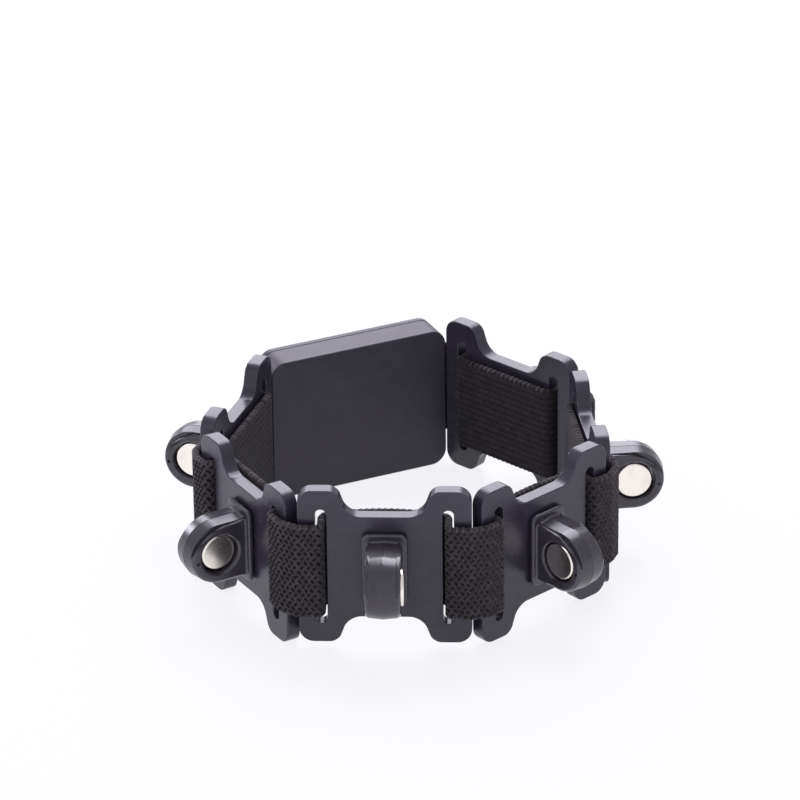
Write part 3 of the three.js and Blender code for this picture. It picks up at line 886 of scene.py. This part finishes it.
def strap(name, path, band, knit, sag, bow=0.0, ends=None):
    """A length of the elastic along its path, or between two runs of it, with the knit or the ribs
    in its mesh and two maps: strip in millimetres, and weave in pitches and rows of the knit. It
    sags as given at both ends of the path and rises by its bow in between."""
    line, even = path
    start, stop = ends or (0, even[-1])
    length = stop - start
    step = band.knit_step if knit else band.rib_step
    bpy.ops.object.select_all(action="DESELECT")
    bpy.ops.mesh.primitive_grid_add(
        x_subdivisions=max(4, round(length / step)),
        y_subdivisions=round(band.height / band.knit_step),
        size=1,
        location=((start + stop) / 2, 0, -band.thickness / 2),
    )
    bpy.context.object.scale = (length, band.height, 1)
    shape = started(name)
    with editing(shape, "FACE", everything=True):
        for share in BAND_LAYERS:
            bpy.ops.mesh.extrude_region_move(
                TRANSFORM_OT_translate={"value": (0, 0, band.thickness * share)}
            )
        bpy.ops.mesh.select_all(action="SELECT")
        bpy.ops.mesh.normals_make_consistent(inside=False)
    mesh = shape.data
    flat = np.zeros(len(mesh.vertices) * 3)
    mesh.vertices.foreach_get("co", flat)
    run, up, out = flat.reshape(-1, 3).T.copy()
    half = band.height / 2
    outer = out > band.thickness / 2 - 1e-4
    inner = out < -band.thickness / 2 + 1e-4
    along, across = weave_spots(run, up, band)
    height = knit_height(along, across) if knit else rib_height(run, up, band)
    depth = band.knit_depth if knit else band.rib_depth
    flat_edge = np.clip((half - np.abs(up)) / FLAT_MARGIN, 0, 1)
    hollow = depth * (1 - height) * flat_edge
    if knit:
        out = np.where(outer, out - hollow, out)
    else:
        out = np.where(inner, out + hollow, out)
    margin = np.clip((np.abs(up) - half + SELVEDGE) / SELVEDGE, 0, 1)
    loops = band.picot_depth * margin * np.cos(2 * math.pi * run / band.picot_pitch) / 2
    tuck = np.where(outer | inner, EDGE_TUCK, 0.0)
    up_placed = up * (half - tuck) / half + np.sign(up) * loops
    x = np.interp(run, even, line[:, 0])
    y = np.interp(run, even, line[:, 1])
    tangent = np.gradient(line, even, axis=0)
    along_x = np.interp(run, even, tangent[:, 0])
    along_y = np.interp(run, even, tangent[:, 1])
    scale = np.hypot(along_x, along_y)
    level = band.middle - np.interp(run, even[[0, -1]], sag)
    level = level + bow * np.sin(math.pi * run / even[-1])
    placed = np.column_stack(
        [x + along_y / scale * out, y - along_x / scale * out, level + up_placed]
    )
    mesh.vertices.foreach_set("co", (placed * MM).ravel())
    corner = np.zeros(len(mesh.loops), np.int32)
    mesh.loops.foreach_get("vertex_index", corner)
    for label, spots in (("strip", (run, up)), ("weave", (along, across))):
        layer = mesh.uv_layers.new(name=label)
        layer.data.foreach_set("uv", np.column_stack(spots)[corner].ravel().astype(np.float32))
    choose(shape)
    bpy.ops.object.shade_smooth_by_angle(angle=CLOTH_ANGLE)
    return shape


# Finishes


class Wire:
    """A socket of a material's nodes, so that sums on it are written as plain expressions."""

    def __init__(self, tree, socket=None):
        self.tree = tree
        self.socket = socket

    def node(self, kind, settings, inputs, output=0):
        """Adds a node, sets it up, feeds its sockets and gives one of its outputs."""
        made = self.tree.nodes.new(kind)
        for key, value in settings.items():
            setattr(made, key, value)
        for key, value in inputs.items():
            if isinstance(value, Wire):
                self.tree.links.new(value.socket, made.inputs[key])
            else:
                made.inputs[key].default_value = value
        return Wire(self.tree, made.outputs[output])

    def calculate(self, operation, first, second=0.0):
        """One step of arithmetic. What needs a single value leaves the second at 0."""
        return self.node("ShaderNodeMath", {"operation": operation}, {0: first, 1: second})

    def __add__(self, other):
        return self.calculate("ADD", self, other)

    __radd__ = __add__

    def __sub__(self, other):
        return self.calculate("SUBTRACT", self, other)

    def __rsub__(self, other):
        return self.calculate("SUBTRACT", other, self)

    def __mul__(self, other):
        return self.calculate("MULTIPLY", self, other)

    __rmul__ = __mul__

    def __truediv__(self, other):
        return self.calculate("DIVIDE", self, other)

    def __rtruediv__(self, other):
        return self.calculate("DIVIDE", other, self)


def blank_material(name):
    """A material with no nodes yet, and a wire to build it from."""
    material = bpy.data.materials.new(name)
    material.use_nodes = True
    tree = material.node_tree
    tree.nodes.clear()
    return material, Wire(tree)


def rgba(tone):
    """A colour with full cover, as sockets want it."""
    return (*tone, 1.0)


def on_piece(wire):
    """Places on a piece, in metres."""
    return wire.node("ShaderNodeTexCoord", {}, {}, 3)


def on_map(wire, name):
    """Places on one of the elastic's two maps."""
    return wire.node("ShaderNodeUVMap", {"uv_map": name}, {})


def noise(wire, spots, scale, detail=3.0, roughness=0.5, warp=0.0):
    """Soft noise from 0 to 1, with its grain given per unit of its map."""
    inputs = {
        "Vector": spots,
        "Scale": scale,
        "Detail": detail,
        "Roughness": roughness,
        "Distortion": warp,
    }
    return wire.node("ShaderNodeTexNoise", {}, inputs)


def bumped(wire, strength, distance, height):
    """A bump for a shader's normal, with its depth in metres."""
    inputs = {"Strength": strength, "Distance": distance, "Height": height}
    return wire.node("ShaderNodeBump", {}, inputs)


def mixed(wire, factor, first, second):
    """One colour into another."""
    settings = {"data_type": "RGBA", "clamp_factor": True}
    return wire.node("ShaderNodeMix", settings, {0: factor, 6: first, 7: second}, 2)


def stepped(wire, value, low, high):
    """A value taken smoothly from 0 at low to 1 at high."""
    settings = {"interpolation_type": "SMOOTHSTEP"}
    inputs = {"Value": value, "From Min": low, "From Max": high}
    return wire.node("ShaderNodeMapRange", settings, inputs)


def rounded_edges(wire):
    """1 on the rounded edges of a moulded or turned piece, 0 elsewhere."""
    settings = {"attribute_name": "worn_edge", "attribute_type": "GEOMETRY"}
    return wire.node("ShaderNodeAttribute", settings, {}, 2)


def show(wire, kind, shader):
    """Ends a tree of nodes in its output."""
    output = wire.tree.nodes.new(kind)
    wire.tree.links.new(shader.socket, output.inputs["Surface"])


def surface(wire, inputs):
    """Ends a material in one shader."""
    show(wire, "ShaderNodeOutputMaterial", wire.node("ShaderNodeBsdfPrincipled", {}, inputs))


def moulded_plastic(name, tone, worn, roughness, grain, relief, shine=0.5):
    """Satin moulded plastic: fine grain, faint cloudiness, rubbed edges and a few hairline marks."""
    material, wire = blank_material(name)
    spots = on_piece(wire)
    cloud = noise(wire, spots, 140.0, detail=4.0, roughness=0.6)
    fine = noise(wire, spots, grain, detail=2.0, roughness=0.6)
    scuff = noise(wire, spots, 900.0, detail=5.0, roughness=0.75, warp=1.5)
    edge = rounded_edges(wire)
    rubbed = edge * stepped(wire, scuff, 0.3, 0.8)
    deep = tuple(0.82 * value for value in tone)
    light = tuple(min(1.0, 1.2 * value) for value in tone)
    body = mixed(wire, stepped(wire, cloud, 0.3, 0.7), rgba(deep), rgba(light))
    colour_out = mixed(wire, rubbed * 0.55, body, rgba(worn))
    haze = stepped(wire, cloud, 0.25, 0.75) * 0.06 + stepped(wire, scuff, 0.55, 0.8) * 0.03
    gloss = haze - edge * 0.15 + (roughness - 0.03)
    inputs = {
        "Base Color": colour_out,
        "Roughness": gloss,
        "Normal": bumped(wire, relief, 0.00006, fine),
        "Specular IOR Level": shine,
    }
    surface(wire, inputs)
    return material


def nickel_plating(name, bright, dull):
    """Nickel on a magnet: a few duller patches and fine rubbing."""
    material, wire = blank_material(name)
    spots = on_piece(wire)
    patch = noise(wire, spots, 420.0, detail=4.0, roughness=0.6)
    rub = noise(wire, spots, 9000.0, detail=6.0, roughness=0.8, warp=0.4)
    edge = rounded_edges(wire)
    tone = mixed(wire, stepped(wire, patch, 0.45, 0.75) * 0.3, rgba(bright), rgba(dull))
    gloss = 0.13 + stepped(wire, rub, 0.35, 0.75) * 0.14 + edge * 0.03
    bump = bumped(wire, 0.06, 0.00003, rub)
    surface(wire, {"Base Color": tone, "Metallic": 1.0, "Roughness": gloss, "Normal": bump})
    return material


def split(wire, spots):
    """The first two coordinates of a map."""
    return [wire.node("ShaderNodeSeparateXYZ", {}, {0: spots}, k) for k in (0, 1)]


def knit_wires(wire):
    """The knit of the mesh, finer: 0 in the holes, up to 1 where a yarn lies on top of another."""
    weave = on_map(wire, "weave")
    along, across = split(wire, weave)
    along = along + noise(wire, weave, 1.1, detail=2.0) * 0.35
    first = (along + across * 0.5) * math.pi
    second = (along - across * 0.5) * math.pi
    lift = wire.calculate("SINE", first) * wire.calculate("SINE", second) * YARN_LIFT
    yarns = []
    for turn, level in ((first, YARN_TOP + lift), (second, YARN_TOP - lift)):
        side = wire.calculate("COSINE", turn)
        yarns.append(wire.calculate("MAXIMUM", 1 - side * side / YARN_SHARE, 0.0) * level)
    return wire.calculate("MAXIMUM", *yarns)


def rib_wires(wire, band):
    """The ribs of the mesh, uneven and tied down at short steps."""
    strip = on_map(wire, "strip")
    run, up = split(wire, strip)
    up = up + noise(wire, strip, 0.9, roughness=0.6) * 0.9
    rib = wire.calculate("COSINE", up * (math.pi / band.rib_pitch))
    tie = wire.calculate("COSINE", (run + up * 0.6) * (2 * math.pi / band.knit_pitch))
    return wire.calculate("ABSOLUTE", rib) * (0.75 + tie * 0.25)


def picot_wires(wire, band):
    """Small ticks of lighter thread along both edges."""
    strip = on_map(wire, "strip")
    run, up = split(wire, strip)
    tick = wire.calculate("COSINE", (run + up * 0.35) * (2 * math.pi / band.picot_pitch))
    margin = wire.calculate("ABSOLUTE", up)
    half = band.height / 2
    rows = stepped(wire, margin, half - 0.35, half - 0.1)
    return stepped(wire, tick, 0.2, 0.65) * rows * stepped(wire, noise(wire, strip, 1.3), 0.36, 0.6)


def woven_elastic(name, pattern_of, tones, band, contrast):
    """Elastic yarn: painted shade between the yarns, twisted strands with painted sheen on top, light
    ticks at the edges.
    """
    material, wire = blank_material(name)
    # The crest tone is painted sheen, the hole tone painted shade
    hole, yarn, crest, picot = (rgba(tone) for tone in tones)
    strip = on_map(wire, "strip")
    pattern = pattern_of(wire)
    fuzz = noise(wire, strip, 9.0, detail=4.0, roughness=0.75)
    # Painted sheen: flecks and fuzz mix the strands towards the lighter crest tone
    sheen_speck = stepped(wire, noise(wire, strip, 5.0, detail=2.0, roughness=0.6), 0.5, 0.72)
    patch = stepped(wire, noise(wire, strip, 0.45, roughness=0.6), 0.35, 0.7)
    strand = mixed(wire, fuzz * 0.5 + sheen_speck * 0.6 - patch * 0.25, yarn, crest)
    # Painted shade: where the pattern falls towards the holes or the gaps between ribs, the colour goes
    # to the dark hole tone
    cover = stepped(wire, pattern, 0.0, 0.55) * contrast + (1 - contrast)
    body = mixed(wire, cover, hole, strand)
    tone = mixed(wire, picot_wires(wire, band) * stepped(wire, fuzz, 0.25, 0.5), body, picot)
    inputs = {
        "Base Color": tone,
        "Roughness": 0.95 - fuzz * 0.2,
        "Normal": bumped(wire, 0.6, 0.0001, pattern + fuzz * 0.35),
        "Specular IOR Level": 0.25,
        "Sheen Weight": 0.08,
        "Sheen Roughness": 0.4,
    }
    surface(wire, inputs)
    return material


def pale_floor(name, tone, tint, glow):
    """A floor that shows white and keeps the soft shadow."""
    material, wire = blank_material(name)
    camera = wire.node("ShaderNodeLightPath", {}, {}, 0)
    glossy = wire.node("ShaderNodeLightPath", {}, {}, 3)
    glass = wire.node("ShaderNodeLightPath", {}, {}, 6)
    seen = wire.calculate("MINIMUM", camera + glossy + glass, 1.0)
    spots = on_piece(wire)
    grain = noise(wire, spots, 30.0)
    shade = mixed(wire, grain * 0.2, rgba(tone), rgba(tuple(0.98 * value for value in tone)))
    cloth = wire.node("ShaderNodeBsdfDiffuse", {}, {"Color": shade})
    light = wire.node("ShaderNodeEmission", {}, {"Color": rgba(tint), "Strength": 1.0})
    both = wire.node("ShaderNodeMixShader", {}, {0: seen * glow, 1: cloth, 2: light})
    show(wire, "ShaderNodeOutputMaterial", both)
    return material


# Operators


class WRISTBAND_OT_link_plates(bpy.types.Operator):
    """Makes the six dog-bone link plates"""

    bl_idname = "wristband.link_plates"
    bl_label = "Link plates"

    def execute(self, context):
        part = measures(context)
        finish = context.scene.wristband_finish
        material = moulded_plastic(
            "plate_plastic", finish.plate, finish.worn, roughness=0.27, grain=5200.0, relief=0.1
        )
        shape = plate_shape(part.plate, part.lug)
        on_each_link(shape, "plate_", part.places, material, "link_plate_")
        return {"FINISHED"}


class WRISTBAND_OT_magnet_lugs(bpy.types.Operator):
    """Makes the eye lug of each link"""

    bl_idname = "wristband.magnet_lugs"
    bl_label = "Magnet lugs"

    def execute(self, context):
        part = measures(context)
        finish = context.scene.wristband_finish
        material = moulded_plastic(
            "lug_plastic",
            finish.lug,
            finish.worn,
            roughness=0.27,
            grain=5200.0,
            relief=0.05,
            shine=0.65,
        )
        shape = lug_shape(part.plate, part.lug)
        on_each_link(shape, "lug_", part.places, material, "magnet_lug_")
        return {"FINISHED"}


class WRISTBAND_OT_lug_magnets(bpy.types.Operator):
    """Makes the disc magnet in each lug"""

    bl_idname = "wristband.lug_magnets"
    bl_label = "Lug magnets"

    def execute(self, context):
        part = measures(context)
        finish = context.scene.wristband_finish
        material = nickel_plating("magnet_nickel", finish.nickel, finish.tarnish)
        shape = magnet_shape(part.lug)
        on_each_link(
            shape, "magnet_", part.places, material, "lug_magnet_", MAGNET_SLIP
        )
        return {"FINISHED"}


class WRISTBAND_OT_pad_case(bpy.types.Operator):
    """Makes the pad's tub and cover, and finishes what they hold"""

    bl_idname = "wristband.pad_case"
    bl_label = "Pad case"

    def execute(self, context):
        part = measures(context)
        finish = context.scene.wristband_finish
        material = moulded_plastic(
            "pad_plastic", finish.pad, finish.worn, roughness=0.5, grain=7000.0, relief=0.2
        )
        for shape, name, node in (
            (tub_shape(part.pad, part.band), "pad_tub", "pad_housing"),
            (cover_shape(part.pad), "pad_lid", "pad_cover"),
        ):
            piece = stand(shape, name, part.places["pad"])
            finish_piece(piece, material, "pad", node)
            bpy.data.objects.remove(shape)
        inner_nickel = nickel_plating("hidden_magnet", finish.tarnish, finish.nickel)
        coat(frame["nodes"]["pad_magnet"], inner_nickel)
        clamp_plastic = moulded_plastic(
            "clamp_plastic", finish.pad, finish.worn, roughness=0.55, grain=6000.0, relief=0.2
        )
        coat(frame["nodes"]["band_clamp"], clamp_plastic)
        return {"FINISHED"}


class WRISTBAND_OT_band_inside(bpy.types.Operator):
    """Makes the six lengths of the elastic that lie on the wrist side of the links"""

    bl_idname = "wristband.band_inside"
    bl_label = "Band inside the links"

    def execute(self, context):
        part = measures(context)
        plate = part.plate
        band = part.band
        finish = context.scene.wristband_finish
        # The first tone is painted shade between the ribs, the third is painted sheen on the ribs
        tones = (finish.rib_gap_shade, finish.rib, finish.rib_painted_sheen, finish.picot)
        material = woven_elastic(
            "elastic_inside", lambda wire: rib_wires(wire, band), tones, band, contrast=0.9
        )
        level = plate.thickness / 2 - band.join / 2
        for name in LINKS:
            element = part.places[name]
            path = rounded_line(
                [
                    spot(element, -plate.slot_at, level),
                    spot(element, -plate.slot_at, band.inside, band.bend),
                    spot(element, plate.slot_at, band.inside, band.bend),
                    spot(element, plate.slot_at, level),
                ]
            )
            sag = [BAND_SAG.get(name, 0.0)] * 2
            bow = BAND_BOW.get(name, 0.0)
            piece = strap("band_inside_" + name, path, band, False, sag, bow)
            finish_piece(piece, material, "link_" + name, "band_inner_" + name)
        return {"FINISHED"}


class WRISTBAND_OT_band_outside(bpy.types.Operator):
    """Makes the lengths of the elastic that cross from link to link, and its ends in the pad"""

    bl_idname = "wristband.band_outside"
    bl_label = "Band outside the links"

    def execute(self, context):
        part = measures(context)
        finish = context.scene.wristband_finish
        # The first tone is painted shade for the knit's holes, the third is painted sheen on the yarns
        tones = (finish.yarn_hole_shade, finish.yarn, finish.yarn_painted_sheen, finish.picot)
        material = woven_elastic("elastic_outside", knit_wires, tones, part.band, contrast=0.97)
        for name, following in zip(ORDER, ORDER[1:] + ORDER[:1]):
            if name != "pad":
                self.cross(part, name, following, material)
        self.tail(part, material)
        self.clamped_end(part, material)
        return {"FINISHED"}

    def cross(self, part, name, following, material):
        """The span from one link to the next, in two halves."""
        band = part.band
        if following == "pad":
            far = into_pad(part.places["pad"], -1, part.pad.wall / 2, part.pad, band)
            parent = "pad"
        else:
            far = over_end(part.places[following], -1, part.plate, band)[::-1]
            parent = "link_" + following
        close = over_end(part.places[name], 1, part.plate, band)
        path = rounded_line(close + far)
        line, even = path
        corners = (close[-1][0], far[0][0])
        middle = (corners[0] + corners[1]) / 2
        halfway = int(np.argmin(np.hypot(line[:, 0] - middle.x, line[:, 1] - middle.y)))
        level = band.middle * MM
        fold = Vector((*line[halfway] * MM, level))
        close_fold, far_fold = (Vector((*corner * MM, level)) for corner in corners)
        link = "link_" + name
        span = "span_" + following + "_" + name
        route = name + "_to_" + following
        node = "band_outer_" + route
        halves = (
            ("band_swivel_", (0, even[halfway]), span, link, fold, close_fold),
            ("band_stretch_", (even[halfway], even[-1]), parent, span, far_fold, fold),
        )
        sag = [BAND_SAG.get(element, 0.0) for element in (name, following)]
        for label, ends, first, second, begin, end in halves:
            piece = strap(label + route, path, band, True, sag, ends=ends)
            coat(piece, material)
            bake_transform(piece)
            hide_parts(node)

    def tail(self, part, material):
        """The band's free end, which slides in the pad's side."""
        corners = over_end(part.places["left"], -1, part.plate, part.band)
        corners += into_pad(part.places["pad"], 1, part.pad.tail_inside, part.pad, part.band)
        path = rounded_line(corners[::-1])
        piece = strap("band_tail", path, part.band, True, (0.0, BAND_SAG["left"]))
        finish_piece(piece, material, "link_left", "band_tail_left_to_pad")

    def clamped_end(self, part, material):
        """The band's other end, which the clamp holds inside the pad."""
        pad = part.pad
        element = part.places["pad"]
        start = -pad.width / 2 + pad.wall / 2 + part.band.pad_join
        stop = -pad.width / 2 + pad.wall + pad.fixed_inside
        path = rounded_line([spot(element, along, pad.band_level) for along in (start, stop)])
        piece = strap("band_end", path, part.band, True, [BAND_SAG["pad"]] * 2)
        finish_piece(piece, material, "pad", "band_end_in_pad")


class WRISTBAND_OT_stage(bpy.types.Operator):
    """Makes the floor, the soft lights and the camera"""

    bl_idname = "wristband.stage"
    bl_label = "Stage"

    def execute(self, context):
        stage = context.scene.wristband_stage
        finish = context.scene.wristband_finish
        bpy.ops.object.select_all(action="DESELECT")
        bpy.ops.mesh.primitive_circle_add(vertices=96, radius=FLOOR_RADIUS, fill_type="NGON")
        floor = bpy.context.object
        floor.name = "floor"
        floor.data.materials.append(
            pale_floor("pale_floor", finish.floor, finish.glow, stage.floor_glow)
        )
        self.room(context, stage.world)
        for label, (where, extent) in LAMPS.items():
            self.lamp("light_" + label, where, extent, getattr(stage, label), finish.lamp)
        camera = bpy.data.cameras.new("camera")
        camera.lens = stage.lens
        camera.sensor_width = SENSOR_WIDTH
        holder = bpy.data.objects.new("camera", camera)
        context.collection.objects.link(holder)
        holder.location = stage.camera
        aim = Vector(
            (
                math.sin(stage.turn) * math.cos(stage.tilt),
                math.cos(stage.turn) * math.cos(stage.tilt),
                -math.sin(stage.tilt),
            )
        )
        turned = aim.to_track_quat("-Z", "Y") @ Quaternion((0, 0, 1), stage.roll)
        holder.rotation_euler = turned.to_euler()
        context.scene.camera = holder
        context.scene.view_settings.view_transform = "Standard"
        return {"FINISHED"}

    def room(self, context, strength):
        """A white room, which shows as plain white."""
        world = bpy.data.worlds.new("room")
        context.scene.world = world
        world.use_nodes = True
        tree = world.node_tree
        tree.nodes.clear()
        wire = Wire(tree)
        camera = wire.node("ShaderNodeLightPath", {}, {}, 0)
        inputs = {"Color": rgba(ROOM_TINT), "Strength": camera + (1 - camera) * strength}
        light = wire.node("ShaderNodeBackground", {}, inputs)
        show(wire, "ShaderNodeOutputWorld", light)

    def lamp(self, name, where, extent, watts, tint):
        """A square soft box that looks at the part."""
        light = bpy.data.lights.new(name, "AREA")
        light.size = extent
        light.energy = watts
        light.color = tint
        holder = bpy.data.objects.new(name, light)
        bpy.context.collection.objects.link(holder)
        holder.location = where
        holder.rotation_euler = (-Vector(where)).to_track_quat("-Z", "Y").to_euler()


class WRISTBAND_PT_pieces(bpy.types.Panel):
    """The wristband's pieces, in the order in which they are made"""

    bl_label = "Wristband"
    bl_idname = "WRISTBAND_PT_pieces"
    bl_space_type = "VIEW_3D"
    bl_region_type = "UI"
    bl_category = "Wristband"

    def draw(self, context):
        for operator in OPERATORS:
            self.layout.operator(operator.bl_idname)
        for label in SETTINGS:
            group = getattr(context.scene, label)
            box = self.layout.box()
            for key in group.__annotations__:
                box.prop(group, key)


OPERATORS = (
    WRISTBAND_OT_link_plates,
    WRISTBAND_OT_magnet_lugs,
    WRISTBAND_OT_lug_magnets,
    WRISTBAND_OT_pad_case,
    WRISTBAND_OT_band_inside,
    WRISTBAND_OT_band_outside,
    WRISTBAND_OT_stage,
)


def register():
    """Adds the settings, the operators and the panel."""
    for group in SETTINGS.values():
        bpy.utils.register_class(group)
    for operator in OPERATORS:
        bpy.utils.register_class(operator)
    bpy.utils.register_class(WRISTBAND_PT_pieces)
    for label, group in SETTINGS.items():
        setattr(bpy.types.Scene, label, PointerProperty(type=group))


def unregister():
    """Removes what register added."""
    for label in SETTINGS:
        delattr(bpy.types.Scene, label)
    bpy.utils.unregister_class(WRISTBAND_PT_pieces)
    for operator in OPERATORS[::-1]:
        bpy.utils.unregister_class(operator)
    for group in list(SETTINGS.values())[::-1]:
        bpy.utils.unregister_class(group)


def main():
    """Makes every piece and the stage."""
    register()
    bpy.ops.wristband.link_plates()
    bpy.ops.wristband.magnet_lugs()
    bpy.ops.wristband.lug_magnets()
    bpy.ops.wristband.pad_case()
    bpy.ops.wristband.band_inside()
    bpy.ops.wristband.band_outside()
    bpy.ops.wristband.stage()


if __name__ == "__main__":
    main()
